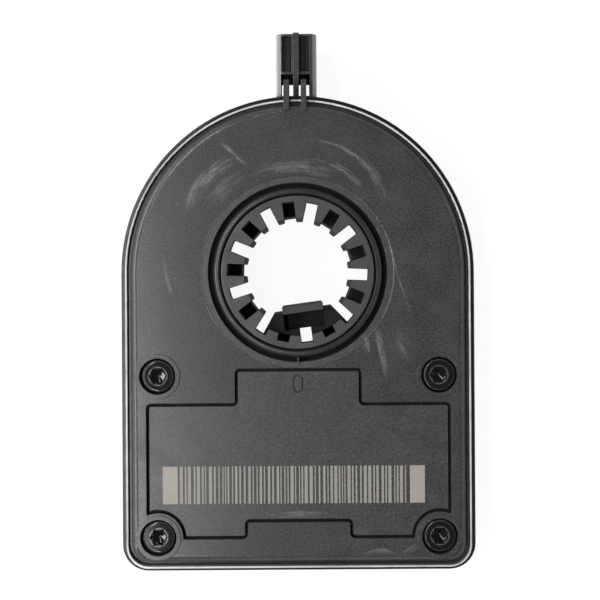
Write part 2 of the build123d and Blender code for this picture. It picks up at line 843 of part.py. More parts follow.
# Terminal pins, from the socket through the neck and up into the board
pin_tip = socket_mouth - pin_tip_inset
pin_number = 0
for x in pin_columns:
    for z, bend in zip(pin_rows, pin_bends):
        pin_number += 1
        with BuildPart() as pin:
            with BuildSketch(Plane.YZ.offset(x - pin_size / 2)) as bent:
                with BuildLine():
                    Polyline(
                        (pin_tip, z - pin_size / 2),
                        (bend - pin_size / 2, z - pin_size / 2),
                        (bend - pin_size / 2, board_high + pin_rise),
                        (bend + pin_size / 2, board_high + pin_rise),
                        (bend + pin_size / 2, z + pin_size / 2),
                        (pin_tip, z + pin_size / 2),
                        close=True,
                    )
                make_face()
                corner = bent.vertices().sort_by_distance((bend - pin_size / 2, z - pin_size / 2))[0]
                fillet(corner, pin_size)
            extrude(amount=pin_size)
            chamfer(pin.faces().sort_by(Axis.Y)[-1].edges(), pin_size / 4)
        pin.part.label = f"terminal_pin_{pin_number}"
        export_step(pin.part, f"parts/terminal_pin_{pin_number}.step")

# Cover screws: pan heads with a six-lobed recess, and shanks in the bosses
for number, (x, y) in enumerate(screw_places, 1):
    head_top = screw_seat + screw_head_height
    tip = screw_seat - screw_length
    with BuildPart() as cover_screw:
        with BuildSketch(Plane.XZ.offset(-y)):
            with BuildLine():
                Polyline(
                    (x, head_top),
                    (x, tip),
                    (x + screw_shank_radius / 2, tip),
                    (x + screw_shank_radius, tip + screw_tip),
                    (x + screw_shank_radius, screw_seat),
                    (x + screw_head_radius, screw_seat),
                    (x + screw_head_radius, head_top - screw_head_edge),
                )
                RadiusArc(
                    (x + screw_head_radius, head_top - screw_head_edge),
                    (x + screw_head_radius - screw_head_edge, head_top),
                    -screw_head_edge,
                )
                Line((x + screw_head_radius - screw_head_edge, head_top), (x, head_top))
            make_face()
        revolve(axis=Axis((x, y, 0), (0, 0, 1)))
        with BuildSketch(Plane.XY.offset(head_top)):
            with Locations((x, y)):
                Circle(recess_radius)
                with PolarLocations(recess_lobe_distance, 6):
                    Circle(recess_lobe_radius)
        extrude(amount=-recess_depth, mode=Mode.SUBTRACT)
        with Locations((x, y, head_top - recess_depth)):
            Cone(0, recess_radius, recess_cone, align=(Align.CENTER, Align.CENTER, Align.MAX),
                 mode=Mode.SUBTRACT)
    cover_screw.part.label = f"cover_screw_{number}"
    export_step(cover_screw.part, f"parts/cover_screw_{number}.step")
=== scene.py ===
"""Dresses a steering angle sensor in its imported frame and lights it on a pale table.

The frame is in metres: the hub turns about +Z, which points out of the rear cover, and the plug socket
points along +Y. Sizes in the classes are in millimetres.
"""

import json
import logging
import math
import random
from dataclasses import dataclass
from enum import Enum
from functools import cached_property
from typing import Any

import bmesh
import bpy
from mathutils import Matrix, Vector

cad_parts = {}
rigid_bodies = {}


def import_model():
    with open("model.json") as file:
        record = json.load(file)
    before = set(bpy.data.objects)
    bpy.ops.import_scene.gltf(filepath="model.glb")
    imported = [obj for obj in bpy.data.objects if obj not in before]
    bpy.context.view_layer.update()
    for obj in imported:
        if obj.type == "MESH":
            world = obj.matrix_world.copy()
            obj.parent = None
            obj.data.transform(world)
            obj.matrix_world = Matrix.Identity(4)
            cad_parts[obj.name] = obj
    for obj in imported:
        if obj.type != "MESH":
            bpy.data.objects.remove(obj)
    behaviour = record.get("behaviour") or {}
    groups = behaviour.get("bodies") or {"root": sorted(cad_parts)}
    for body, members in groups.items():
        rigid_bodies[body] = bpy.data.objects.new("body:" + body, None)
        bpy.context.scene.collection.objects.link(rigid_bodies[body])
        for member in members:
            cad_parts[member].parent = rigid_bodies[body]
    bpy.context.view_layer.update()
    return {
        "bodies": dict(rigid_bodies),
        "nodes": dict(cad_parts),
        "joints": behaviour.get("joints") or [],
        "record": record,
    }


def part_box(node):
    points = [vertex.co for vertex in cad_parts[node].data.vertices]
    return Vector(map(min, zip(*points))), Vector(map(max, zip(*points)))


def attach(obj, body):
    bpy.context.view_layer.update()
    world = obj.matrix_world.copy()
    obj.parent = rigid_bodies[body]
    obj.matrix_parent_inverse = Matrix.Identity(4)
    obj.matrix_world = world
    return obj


Socket = bpy.types.NodeSocket
LOG = logging.getLogger("steering_angle_sensor")
MM = 0.001
# A wave texture repeats 3.18 times for each unit of its scale.
WAVE = 3.18


def linear(hex_colour: str) -> tuple[float, float, float, float]:
    """Turns an sRGB colour into linear light.

    Args:
        hex_colour: The colour as "#rrggbb".

    Returns:
        Red, green, blue and an alpha of 1.
    """
    channels = (int(hex_colour[start : start + 2], 16) / 255 for start in (1, 3, 5))
    return (*(c / 12.92 if c <= 0.04045 else ((c + 0.055) / 1.055) ** 2.4 for c in channels), 1.0)


def feed(tree: bpy.types.NodeTree, node: bpy.types.Node, inputs: dict[int | str, Any]) -> None:
    """Links a node's inputs, or sets constants on them.

    Args:
        tree: The node's tree.
        node: The node.
        inputs: A value, or a socket to link, for each input named or numbered.
    """
    for key, value in inputs.items():
        if isinstance(value, Socket):
            tree.links.new(value, node.inputs[key])
        else:
            node.inputs[key].default_value = value


def add_node(
    tree: bpy.types.NodeTree,
    kind: str,
    inputs: dict[int | str, Any] | None = None,
    out: int | str = 0,
    **settings: Any,
) -> Socket | None:
    """Adds a node with its settings and links.

    Args:
        tree: The tree that gets the node.
        kind: The node's type.
        inputs: A value, or a socket to link, for each input named or numbered.
        out: The output to give back.
        **settings: The node's own settings.

    Returns:
        The chosen output, or None where the node has none.
    """
    node = tree.nodes.new(kind)
    for name, value in settings.items():
        setattr(node, name, value)
    feed(tree, node, inputs or {})
    return node.outputs[out] if node.outputs else None


class Surface:
    """A material that is being made, with its shader and its coordinates in millimetres."""

    def __init__(self, name: str) -> None:
        """Starts the material.

        Args:
            name: The material's name.
        """
        self.material = bpy.data.materials.new(name)
        self.material.use_nodes = True
        self.tree = self.material.node_tree
        self.shader = self.tree.nodes["Principled BSDF"]
        metres = self.add("ShaderNodeTexCoord", out="Object")
        self.mm = self.add("ShaderNodeVectorMath", {0: metres, "Scale": 1 / MM}, operation="SCALE")

    def add(
        self, kind: str, inputs: dict[int | str, Any] | None = None, out: int | str = 0, **settings: Any
    ) -> Any:
        """Adds a node to this material, with the arguments of add_node, and gives back the chosen output."""
        return add_node(self.tree, kind, inputs, out, **settings)

    @cached_property
    def place(self) -> Any:
        """The outputs "X", "Y" and "Z" of a place, in millimetres."""
        return self.add("ShaderNodeSeparateXYZ", {0: self.mm}).node.outputs

    @cached_property
    def flat(self) -> Socket:
        """A place with its height left out."""
        return self.add("ShaderNodeVectorMath", {0: self.mm, 1: (1.0, 1.0, 0.0)}, operation="MULTIPLY")

    @cached_property
    def radius(self) -> Socket:
        """A place's distance from the hub's axis."""
        return self.add("ShaderNodeVectorMath", {0: self.flat}, out="Value", operation="LENGTH")

    @cached_property
    def steepness(self) -> Socket:
        """1 on a face that looks along the hub's axis, and 0 on a wall."""
        normal = self.add("ShaderNodeNewGeometry", out="Normal")
        upright = self.add("ShaderNodeSeparateXYZ", {0: normal}, out="Z")
        return self.add("ShaderNodeMath", {0: upright}, operation="ABSOLUTE")

    def window(self, value: Socket, centre: float, half_width: float) -> Socket:
        """Makes a soft bump that is 1 at a value and fades to 0 on both sides.

        Args:
            value: The value that is looked at.
            centre: Where the bump is highest.
            half_width: How far it reaches.

        Returns:
            The bump's height.
        """
        offset = self.add("ShaderNodeMath", {0: value, 1: centre}, operation="SUBTRACT")
        distance = self.add("ShaderNodeMath", {0: offset}, operation="ABSOLUTE")
        limits = {0: distance, 2: half_width, 3: 1.0, 4: 0.0}
        return self.add("ShaderNodeMapRange", limits, interpolation_type="SMOOTHSTEP")

    def highest(self, *sockets: Socket) -> Socket:
        """Takes the highest of several values.

        Args:
            *sockets: The values.

        Returns:
            The highest.
        """
        top = sockets[0]
        for socket in sockets[1:]:
            top = self.add("ShaderNodeMath", {0: top, 1: socket}, operation="MAXIMUM")
        return top

    def finish(
        self,
        share: Socket,
        tones: tuple[str | Socket, str],
        height: Socket,
        depth: float,
        light: Socket | None = None,
        edge: float = 0.0,
        **inputs: Socket | float,
    ) -> bpy.types.Material:
        """Gives the shader its colour and its relief, and sets its other inputs.

        Args:
            share: How far the colour goes from the first tone to the second.
            tones: The two tones.
            height: The relief.
            depth: How deep the relief is for a height of 1, in millimetres.
            light: What the colour is scaled by, if by anything.
            edge: How far sharp edges look rounded, in millimetres.
            **inputs: A value or a socket for each other input, with underscores for spaces.

        Returns:
            The finished material.
        """
        first, second = (linear(tone) if isinstance(tone, str) else tone for tone in tones)
        colour = self.add("ShaderNodeMix", {0: share, 6: first, 7: second}, out=2, data_type="RGBA")
        if light is not None:
            colour = self.add("ShaderNodeVectorMath", {0: colour, "Scale": light}, operation="SCALE")
        relief = {"Height": height, "Distance": depth * MM}
        if edge:
            relief["Normal"] = self.add("ShaderNodeBevel", {"Radius": edge * MM}, samples=4)
        bump = self.add("ShaderNodeBump", relief, out="Normal")
        others = {name.replace("_", " "): value for name, value in inputs.items()}
        feed(self.tree, self.shader, {"Base Color": colour, "Normal": bump, **others})
        return self.material


@dataclass(frozen=True)
class Rub:
    """A rubbed streak on the cover: part of a ring, by its centre, radius and bearing, clockwise from +Y.

    Lengths are in millimetres, and bearing and half_turn in degrees.
    """

    x: float
    y: float
    radius: float
    half_width: float
    bearing: float
    half_turn: float
    strength: float


RUBS = (
    Rub(-6.0, 6.8, 19.0, 2.6, -46.1, 36.0, 0.72),
    Rub(-1.6, 1.5, 21.6, 3.6, -40.2, 24.0, 0.36),
    Rub(-46.0, -12.0, 49.6, 0.9, 41.5, 7.0, 0.66),
    Rub(2.4, 11.1, 16.9, 1.2, 33.7, 60.0, 0.52),
    Rub(0.7, 8.3, 16.3, 1.3, 32.4, 40.0, 0.5),
    Rub(-1.6, 9.7, 21.1, 1.9, 61.0, 29.0, 0.4),
    Rub(-1.3, -1.8, 24.5, 3.0, 2.1, 38.0, 0.42),
    Rub(137.1, 31.8, 120.2, 0.7, -105.7, 8.0, 0.42),
    Rub(10.9, 8.7, 40.1, 0.9, -103.5, 16.0, 0.4),
    Rub(-252.1, -75.5, 276.2, 1.3, 77.8, 1.9, 0.62),
    Rub(-1.3, -18.2, 16.2, 1.1, 80.9, 14.0, 0.55),
    Rub(42.6, -7.1, 22.1, 3.2, -113.0, 17.0, 0.36),
    Rub(17.4, -65.8, 6.2, 1.1, -2.9, 58.0, 0.5),
    Rub(27.0, -64.3, 5.9, 1.1, -33.7, 38.0, 0.5),
    Rub(0.9, -117.7, 66.0, 1.4, -0.6, 11.0, 0.4),
)


@dataclass(frozen=True)
class MouldedPolyester:
    """Glass-filled polyester, injection moulded against spark-eroded steel.

    The eye sees a cool near-black with a soft sheen, a fine grain and glints on the edges, which the mould
    leaves a little round. Walls, which the steel drags dull as it opens, are rougher, and walls and deep
    places get painted shade.
    """

    name: str = "moulded_polyester"
    base: str = "#2a2b2d"
    rubbed: str = "#a5a5a6"
    sheen_roughness: float = 0.228
    sheen_drift: float = 0.055
    ior: float = 1.5
    # The real grain is about 0.08 mm. It is drawn at 0.4 mm, two pixels of the picture, so that it shows.
    grain: float = 0.4
    grain_depth: float = 0.006
    cloud: float = 6.0
    cloud_low: float = 0.2
    cloud_high: float = 0.8
    mottle: float = 0.07
    tooth: float = 0.11
    fleck: float = 0.5
    fleck_paleness: float = 0.2
    edge_radius: float = 0.15
    # Painted shade: walls and deep places keep only these shares of their tone.
    wall_tone_in_painted_shade: float = 0.35
    wall_roughness: float = 0.95
    deep_low: float = 16.8
    deep_high: float = 17.7
    deep_tone_in_painted_shade: float = 0.3

    def build(self) -> bpy.types.Material:
        """Makes the material.

        Returns:
            The finished material.
        """
        s = Surface(self.name)
        clouds = s.add("ShaderNodeTexNoise", {"Vector": s.mm, "Scale": 1 / self.cloud, "Detail": 3.0})
        grain = s.add("ShaderNodeTexNoise", {"Vector": s.mm, "Scale": 1 / self.grain, "Detail": 2.0})
        return s.finish(
            self.paleness(s, clouds, grain),
            (self.base, self.rubbed),
            self.relief(s, grain),
            depth=1.0,
            light=self.painted_shade(s),
            edge=self.edge_radius,
            Roughness=self.roughness(s, clouds),
            IOR=self.ior,
        )

    def paleness(self, s: Surface, clouds: Socket, grain: Socket) -> Socket:
        """Adds the skin's own clouds, grain and flecks of filler.

        Args:
            s: The surface.
            clouds: Slow noise.
            grain: Fine noise.

        Returns:
            How pale the skin is, from 0 to 1.
        """
        spots = s.add("ShaderNodeTexNoise", {"Vector": s.mm, "Scale": 1 / self.fleck, "Detail": 1.0})
        flecks = s.add("ShaderNodeMapRange", {0: spots, 1: 0.7, 2: 0.9, 4: self.fleck_paleness})
        limits = {0: clouds, 1: self.cloud_low, 2: self.cloud_high, 4: self.mottle}
        drift = s.add("ShaderNodeMapRange", limits, interpolation_type="SMOOTHSTEP")
        tooth = s.add("ShaderNodeMapRange", {0: grain, 1: 0.35, 2: 0.7, 4: self.tooth})
        skin = s.add("ShaderNodeMath", {0: drift, 1: tooth}, operation="ADD")
        return s.add("ShaderNodeMath", {0: skin, 1: flecks}, operation="ADD", use_clamp=True)

    def roughness(self, s: Surface, clouds: Socket) -> Socket:
        """Varies the sheen with the clouds, and takes it away on walls.

        Args:
            s: The surface.
            clouds: Slow noise.

        Returns:
            The roughness.
        """
        rough, smooth = self.sheen_roughness + self.sheen_drift, self.sheen_roughness - self.sheen_drift
        limits = {0: clouds, 1: self.cloud_low, 2: self.cloud_high, 3: rough, 4: smooth}
        sheen = s.add("ShaderNodeMapRange", limits, interpolation_type="SMOOTHSTEP")
        wall = s.add("ShaderNodeMapRange", {0: s.steepness, 1: 0.2, 2: 0.7, 3: 1.0, 4: 0.0})
        wall = s.add("ShaderNodeMath", {0: wall, 1: self.reach(s)}, operation="MULTIPLY")
        dull = {0: s.highest(wall, self.depth(s)), 2: sheen, 3: self.wall_roughness}
        return s.add("ShaderNodeMix", dull, data_type="FLOAT")

    def relief(self, s: Surface, grain: Socket) -> Socket:
        """Raises the grain.

        Args:
            s: The surface.
            grain: Fine noise.

        Returns:
            The height, in millimetres.
        """
        return s.add("ShaderNodeMath", {0: grain, 1: self.grain_depth}, operation="MULTIPLY")

    def depth(self, s: Surface) -> Socket:
        """Tells deep places by their height.

        Args:
            s: The surface.

        Returns:
            1 where nothing reaches, and 0 in the open.
        """
        return s.add(
            "ShaderNodeMapRange", {0: s.place["Z"], 1: self.deep_low, 2: self.deep_high, 3: 1.0, 4: 0.0}
        )

    def reach(self, s: Surface) -> Socket | float:
        """Tells where walls are dull.

        Args:
            s: The surface.

        Returns:
            1 where they are, and 0 elsewhere.
        """
        return 1.0

    def painted_shade(self, s: Surface) -> Socket:
        """Paints shade on walls and deep places.

        Args:
            s: The surface.

        Returns:
            The share of the tone that a place keeps under the painted shade.
        """
        wall = s.add("ShaderNodeMapRange", {0: s.steepness, 1: 0.2, 2: 0.8, 3: self.wall_tone_in_painted_shade, 4: 1.0})
        deep = s.add("ShaderNodeMapRange", {0: self.depth(s), 3: 1.0, 4: self.deep_tone_in_painted_shade})
        return s.add("ShaderNodeMath", {0: wall, 1: deep}, operation="MULTIPLY")


@dataclass(frozen=True)
class CrestedShell(MouldedPolyester):
    """The same polyester on the housing.

    A thin bright line along the rim's crest is a painted highlight, the socket's flanks get a pale painted
    reflection, and the rim's outer edge gets painted shade.
    """

    name: str = "moulded_polyester_with_burnished_rim"
    # This pale tone also paints the highlight along the crest and the reflection on the socket's flanks.
    rubbed: str = "#dddddc"
    mottle: float = 0.03
    tooth: float = 0.05
    half_width: float = 37.93
    # The crest lies 0.3 mm farther out along the foot than along the sides.
    length: float = 64.3
    corner: float = 5.6
    # The pale line along the crest is a painted highlight.
    crest_inset: float = 1.04
    crest_reach: float = 0.29
    crest_low: float = 16.7
    pocket_inset: float = 1.65
    pocket_reach: float = 0.5
    pocket_paleness: float = 0.05
    wall_tone_in_painted_shade: float = 0.5
    # The rim's outer edge gets painted shade.
    edge_width: float = 0.72
    edge_low: float = 15.6
    edge_tone_in_painted_shade: float = 0.12
    # A wall counts as part of the place that it bounds, when it lies no farther out than this.
    wall_slack: float = 0.05
    neck_half_width: float = 3.3
    neck_start: float = 38.2
    neck_deep: float = 15.3
    # The socket's flanks turn pale towards their outer sides and tops: a painted reflection.
    flank_start: float = 3.2
    flank_end: float = 4.4
    flank_low: float = 9.0
    flank_high: float = 14.5
    flank_painted_reflection: float = 0.75

    def spread(self, s: Surface) -> Socket:
        """Measures how far out a place lies, in steps that follow the housing's outline.

        Args:
            s: The surface.

        Returns:
            The distance, which is half_width all along the outline.
        """
        above_foot = {0: s.flat, 1: (-self.length, 0.0, 0.0)}
        over_arch = s.add("ShaderNodeVectorMath", above_foot, operation="MAXIMUM")
        arch = s.add("ShaderNodeVectorMath", {0: over_arch}, out="Value", operation="LENGTH")
        turned = (s.add("ShaderNodeVectorMath", {0: s.mm, 1: (side, -1.0, 0.0)}, operation="MULTIPLY")
                  for side in (1.0, -1.0))
        folded = s.add("ShaderNodeVectorMath", dict(enumerate(turned)), operation="MAXIMUM")
        inset = (self.half_width - self.corner, self.length - self.corner, 0.0)
        past = s.add("ShaderNodeVectorMath", {0: folded, 1: inset}, operation="SUBTRACT")
        past = s.add("ShaderNodeVectorMath", {0: past, 1: (0.0, 0.0, 0.0)}, operation="MAXIMUM")
        reach = s.add("ShaderNodeVectorMath", {0: past}, out="Value", operation="LENGTH")
        foot = s.add("ShaderNodeMath", {0: reach, 1: self.half_width - self.corner}, operation="ADD")
        return s.highest(arch, foot)

    def paleness(self, s: Surface, clouds: Socket, grain: Socket) -> Socket:
        """Adds the painted highlight along the crest, the dusty pocket beside it and the painted reflection
        on the socket's flanks to the skin.

        Args:
            s: The surface.
            clouds: Slow noise.
            grain: Fine noise.

        Returns:
            How pale the skin is, from 0 to 1.
        """
        spread = self.spread(s)
        # Painted highlight: a thin pale line along the rim's crest, a little uneven with the clouds.
        crest = s.window(spread, self.half_width - self.crest_inset, self.crest_reach)
        crest = s.add("ShaderNodeMapRange", {0: crest, 1: 0.1, 2: 0.6})
        raised = s.add("ShaderNodeMath", {0: s.place["Z"], 1: self.crest_low}, operation="GREATER_THAN")
        uneven = s.add("ShaderNodeMapRange", {0: clouds, 1: 0.3, 2: 0.6, 3: 0.7, 4: 1.0})
        crest = s.add("ShaderNodeMath", {0: crest, 1: uneven}, operation="MULTIPLY")
        crest = s.add("ShaderNodeMath", {0: crest, 1: raised}, operation="MULTIPLY")
        pocket = s.window(spread, self.half_width - self.pocket_inset, self.pocket_reach)
        pocket = s.add("ShaderNodeMath", {0: pocket, 1: self.pocket_paleness}, operation="MULTIPLY")
        # Painted reflection on the socket's rounded flanks.
        out = s.add("ShaderNodeMath", {0: s.place["X"]}, operation="ABSOLUTE")
        limits = {0: out, 1: self.flank_start, 2: self.flank_end, 4: self.flank_painted_reflection}
        flank = s.add("ShaderNodeMapRange", limits)
        upper = s.add("ShaderNodeMapRange", {0: s.place["Z"], 1: self.flank_low, 2: self.flank_high})
        flank = s.add("ShaderNodeMath", {0: flank, 1: upper}, operation="MULTIPLY")
        socket = s.add("ShaderNodeMath", {0: s.place["Y"], 1: self.neck_start}, operation="GREATER_THAN")
        flank = s.add("ShaderNodeMath", {0: flank, 1: socket}, operation="MULTIPLY")
        return s.highest(super().paleness(s, clouds, grain), crest, pocket, flank)

    def edge(self, s: Surface) -> Socket:
        """Tells the rim's outer edge.

        Args:
            s: The surface.

        Returns:
            1 there, and 0 elsewhere.
        """
        half = self.edge_width / 2
        limits = {0: self.spread(s), 1: self.half_width - half, 2: half + self.wall_slack}
        outer = s.add("ShaderNodeMath", limits, operation="COMPARE")
        upper = s.add("ShaderNodeMapRange", {0: s.place["Z"], 1: self.edge_low, 2: self.crest_low})
        return s.add("ShaderNodeMath", {0: outer, 1: upper}, operation="MULTIPLY")

    def inside(self, s: Surface) -> Socket:
        """Tells the inside of the neck and the socket.

        Args:
            s: The surface.

        Returns:
            1 there, and 0 elsewhere.
        """
        limits = {0: s.place["X"], 1: 0.0, 2: self.neck_half_width + self.wall_slack}
        between = s.add("ShaderNodeMath", limits, operation="COMPARE")
        past = s.add("ShaderNodeMath", {0: s.place["Y"], 1: self.neck_start}, operation="GREATER_THAN")
        return s.add("ShaderNodeMath", {0: between, 1: past}, operation="MULTIPLY")

    def reach(self, s: Surface) -> Socket:
        """Keeps the dull walls to the rim's outer edge and the inside of the neck and the socket.

        Args:
            s: The surface.

        Returns:
            1 there, and 0 elsewhere.
        """
        return s.highest(self.inside(s), self.edge(s))

    def depth(self, s: Surface) -> Socket:
        """Counts only what lies low inside the neck and the socket as deep.

        Args:
            s: The surface.

        Returns:
            1 there, and 0 elsewhere.
        """
        low = s.add("ShaderNodeMath", {0: s.place["Z"], 1: self.neck_deep}, operation="LESS_THAN")
        return s.add("ShaderNodeMath", {0: low, 1: self.inside(s)}, operation="MULTIPLY")

    def painted_shade(self, s: Surface) -> Socket:
        """Paints shade on the rim's outer edge, and on walls only inside the neck and the socket.

        Args:
            s: The surface.

        Returns:
            The share of the tone that a place keeps under the painted shade.
        """
        edge = s.add("ShaderNodeMapRange", {0: self.edge(s), 3: 1.0, 4: self.edge_tone_in_painted_shade})
        walls = s.add("ShaderNodeMix", {0: self.inside(s), 2: 1.0, 3: super().painted_shade(s)}, data_type="FLOAT")
        return s.add("ShaderNodeMath", {0: walls, 1: edge}, operation="MULTIPLY")


@dataclass(frozen=True)
class RubbedCover(MouldedPolyester):
    """The same polyester on the cover, where handling has rubbed pale streaks into the grain."""

    name: str = "moulded_polyester_with_rubbed_streaks"
    panel_low: float = 17.85
    panel_high: float = 17.95
    panel_dulling: float = 0.12
    panel_paleness: float = 0.025
    # The gap inside the collar, the collar and the moat round it get painted shade, each keeping its share.
    collar_start: float = 16.95
    collar_fade: float = 0.3
    collar_tone_in_painted_shade: float = 0.6
    gap_tone_in_painted_shade: float = 0.15
    moat_start: float = 17.8
    moat_end: float = 18.9
    moat_tone_in_painted_shade: float = 0.25
    moat_roughness: float = 0.2
    face_start: float = 19.15
    # Relief: the collar and the lip of the dish fall away outwards, each by its own fall.
    collar_end: float = 18.8
    collar_fall: float = 0.5
    lip_start: float = 20.4
    lip_end: float = 20.8
    lip_fall: float = 0.24
    lines_per_mm: float = 1.3
    line_stretch: float = 5.0

    def paleness(self, s: Surface, clouds: Socket, grain: Socket) -> Socket:
        """Adds the streaks to the skin, and makes the panel a little paler.

        Args:
            s: The surface.
            clouds: Slow noise.
            grain: Fine noise.

        Returns:
            How pale the skin is, from 0 to 1.
        """
        streaks = [self.streak(s, rub) for rub in RUBS]
        broken = s.add("ShaderNodeMapRange", {0: grain, 1: 0.3, 2: 0.65, 3: 0.45, 4: 1.0})
        rubbed = s.add("ShaderNodeMath", {0: s.highest(*streaks), 1: broken}, operation="MULTIPLY")
        panel = s.add("ShaderNodeMath", {0: self.panel(s), 1: self.panel_paleness}, operation="MULTIPLY")
        skin = s.add("ShaderNodeMath", {0: super().paleness(s, clouds, grain), 1: panel}, operation="ADD")
        return s.highest(skin, rubbed)

    def roughness(self, s: Surface, clouds: Socket) -> Socket:
        """Dulls the sheen on the panel and round the hub.

        Args:
            s: The surface.
            clouds: Slow noise.

        Returns:
            The roughness.
        """
        dulling = s.add("ShaderNodeMath", {0: self.panel(s), 1: self.panel_dulling}, operation="MULTIPLY")
        round_hub = s.add("ShaderNodeMapRange", {0: self.collar(s), 3: self.moat_roughness, 4: 0.0})
        dulling = s.highest(dulling, round_hub)
        return s.add("ShaderNodeMath", {0: super().roughness(s, clouds), 1: dulling}, operation="ADD")

    def relief(self, s: Surface, grain: Socket) -> Socket:
        """Lets the collar round the hub and the lip round its dish fall away outwards.

        Args:
            s: The surface.
            grain: Fine noise.

        Returns:
            The height, in millimetres.
        """
        limits = {0: s.radius, 1: self.collar_start, 2: self.collar_end, 3: self.collar_fall, 4: 0.0}
        fall = s.add("ShaderNodeMapRange", limits, interpolation_type="SMOOTHSTEP")
        limits = {0: s.radius, 1: self.lip_start, 2: self.lip_end, 3: self.lip_fall, 4: 0.0}
        lip = s.add("ShaderNodeMapRange", limits)
        fall = s.add("ShaderNodeMath", {0: fall, 1: lip}, operation="ADD")
        return s.add("ShaderNodeMath", {0: super().relief(s, grain), 1: fall}, operation="ADD")

    def painted_shade(self, s: Surface) -> Socket:
        """Paints shade on the collar round the hub and on the moat round the collar too.

        Args:
            s: The surface.

        Returns:
            The share of the tone that a place keeps under the painted shade.
        """
        return s.add("ShaderNodeMath", {0: super().painted_shade(s), 1: self.collar(s)}, operation="MULTIPLY")

    def collar(self, s: Surface) -> Socket:
        """Tells the collar and its moat by their distance from the hub's axis.

        Args:
            s: The surface.

        Returns:
            The share of its tone that a place keeps under the painted shade.
        """
        start, moat, fade = self.collar_start, self.moat_start, self.collar_fade
        limits = {0: s.radius, 1: start, 2: start + fade, 3: self.gap_tone_in_painted_shade, 4: self.collar_tone_in_painted_shade}
        top = s.add("ShaderNodeMapRange", limits)
        low = s.add("ShaderNodeMapRange", {0: s.radius, 1: moat, 2: moat + fade, 3: 1.0, 4: self.moat_tone_in_painted_shade})
        past = s.add("ShaderNodeMapRange", {0: s.radius, 1: self.moat_end, 2: self.face_start})
        return s.highest(s.add("ShaderNodeMath", {0: top, 1: low}, operation="MULTIPLY"), past)

    def panel(self, s: Surface) -> Socket:
        """Tells the panel's face, which lies a little lower, by its height.

        Args:
            s: The surface.

        Returns:
            1 on the panel, and 0 on the cover's own face.
        """
        limits = {0: s.place["Z"], 1: self.panel_low, 2: self.panel_high, 3: 1.0, 4: 0.0}
        return s.add("ShaderNodeMapRange", limits)

    def streak(self, s: Surface, rub: Rub) -> Socket:
        """Adds one streak, which fades to its sides and ends and breaks up into lines along its length.

        Args:
            s: The surface.
            rub: The streak.

        Returns:
            How pale it makes the skin.
        """
        offset = s.add("ShaderNodeVectorMath", {0: s.flat, 1: (rub.x, rub.y, 0.0)}, operation="SUBTRACT")
        radius = s.add("ShaderNodeVectorMath", {0: offset}, out="Value", operation="LENGTH")
        place = s.add("ShaderNodeSeparateXYZ", {0: offset}).node.outputs
        bearing = s.add("ShaderNodeMath", {0: place["X"], 1: place["Y"]}, operation="ARCTAN2")
        shrunk = rub.radius / self.line_stretch
        length = s.add("ShaderNodeMath", {0: bearing, 1: shrunk}, operation="MULTIPLY")
        along = s.add("ShaderNodeCombineXYZ", {0: radius, 1: length})
        lines = s.add("ShaderNodeTexNoise", {"Vector": along, "Scale": self.lines_per_mm, "Detail": 3.0})
        lines = s.add("ShaderNodeMapRange", {0: lines, 1: 0.3, 2: 0.62, 3: 0.08, 4: rub.strength})
        across = s.window(radius, rub.radius, rub.half_width)
        around = s.window(bearing, math.radians(rub.bearing), math.radians(rub.half_turn))
        patch = s.add("ShaderNodeMath", {0: across, 1: around}, operation="MULTIPLY")
        return s.add("ShaderNodeMath", {0: patch, 1: lines}, operation="MULTIPLY")


@dataclass(frozen=True)
class SlottedHub(MouldedPolyester):
    """The same polyester on the hub, with an even, finer grain and painted shade on its walls and in its
    slots.
    """

    name: str = "moulded_polyester_with_drawn_slots"
    sheen_roughness: float = 0.42
    grain: float = 0.3
    # Painted shade: walls and the slots' deep floors keep only these shares of their tone.
    wall_tone_in_painted_shade: float = 0.2
    deep_low: float = 16.0
    deep_high: float = 18.1
    deep_tone_in_painted_shade: float = 0.12


class Marking(Enum):
    """How strongly the laser has foamed a mark: its paler and its dimmer tone."""

    BLOCK = ("#a8a198", "#8e887e")
    BAR = ("#9d9a92", "#7e7b74")


@dataclass(frozen=True)
class LaserFoamedPolyester:
    """Polyester that a laser has foamed line by line, which leaves a dry, warm grey skin."""

    marking: Marking
    # A laser's lines are about 0.05 mm apart. They are drawn 0.45 mm apart, so that they show.
    line: float = 0.45
    line_depth: float = 0.004
    blotches_per_mm: float = 0.7

    def build(self) -> bpy.types.Material:
        """Makes the material.

        Returns:
            The finished material.
        """
        s = Surface(f"laser_foamed_polyester_{self.marking.name.lower()}")
        bands = {"Vector": s.mm, "Scale": 1 / (WAVE * self.line), "Distortion": 0.6, "Detail": 1.0}
        lines = s.add("ShaderNodeTexWave", bands, out=1, bands_direction="Y")
        blotches = s.add("ShaderNodeTexNoise", {"Vector": s.mm, "Scale": self.blotches_per_mm, "Detail": 4.0})
        dimming = s.add("ShaderNodeMath", {0: lines, 1: blotches}, operation="MULTIPLY")
        return s.finish(dimming, self.marking.value, lines, self.line_depth, Roughness=0.8, IOR=1.5)


@dataclass(frozen=True)
class MouldedAcetal:
    """Natural acetal, injection moulded: milky white, a little waxy, with faint flow lines."""

    name: str = "moulded_natural_acetal"
    body: str = "#e0dccf"
    flow: str = "#cdc7b6"
    swirl: float = 4.0
    swirl_depth: float = 0.01

    def build(self) -> bpy.types.Material:
        """Makes the material.

        Returns:
            The finished material.
        """
        s = Surface(self.name)
        swirls = {"Vector": s.mm, "Scale": 1 / self.swirl, "Detail": 3.0, "Distortion": 1.5}
        flow = s.add("ShaderNodeTexNoise", swirls)
        return s.finish(
            flow,
            (self.body, self.flow),
            flow,
            self.swirl_depth,
            Roughness=s.add("ShaderNodeMapRange", {0: flow, 3: 0.3, 4: 0.42}),
            IOR=1.48,
            Subsurface_Weight=0.15,
            Subsurface_Scale=0.0006,
        )


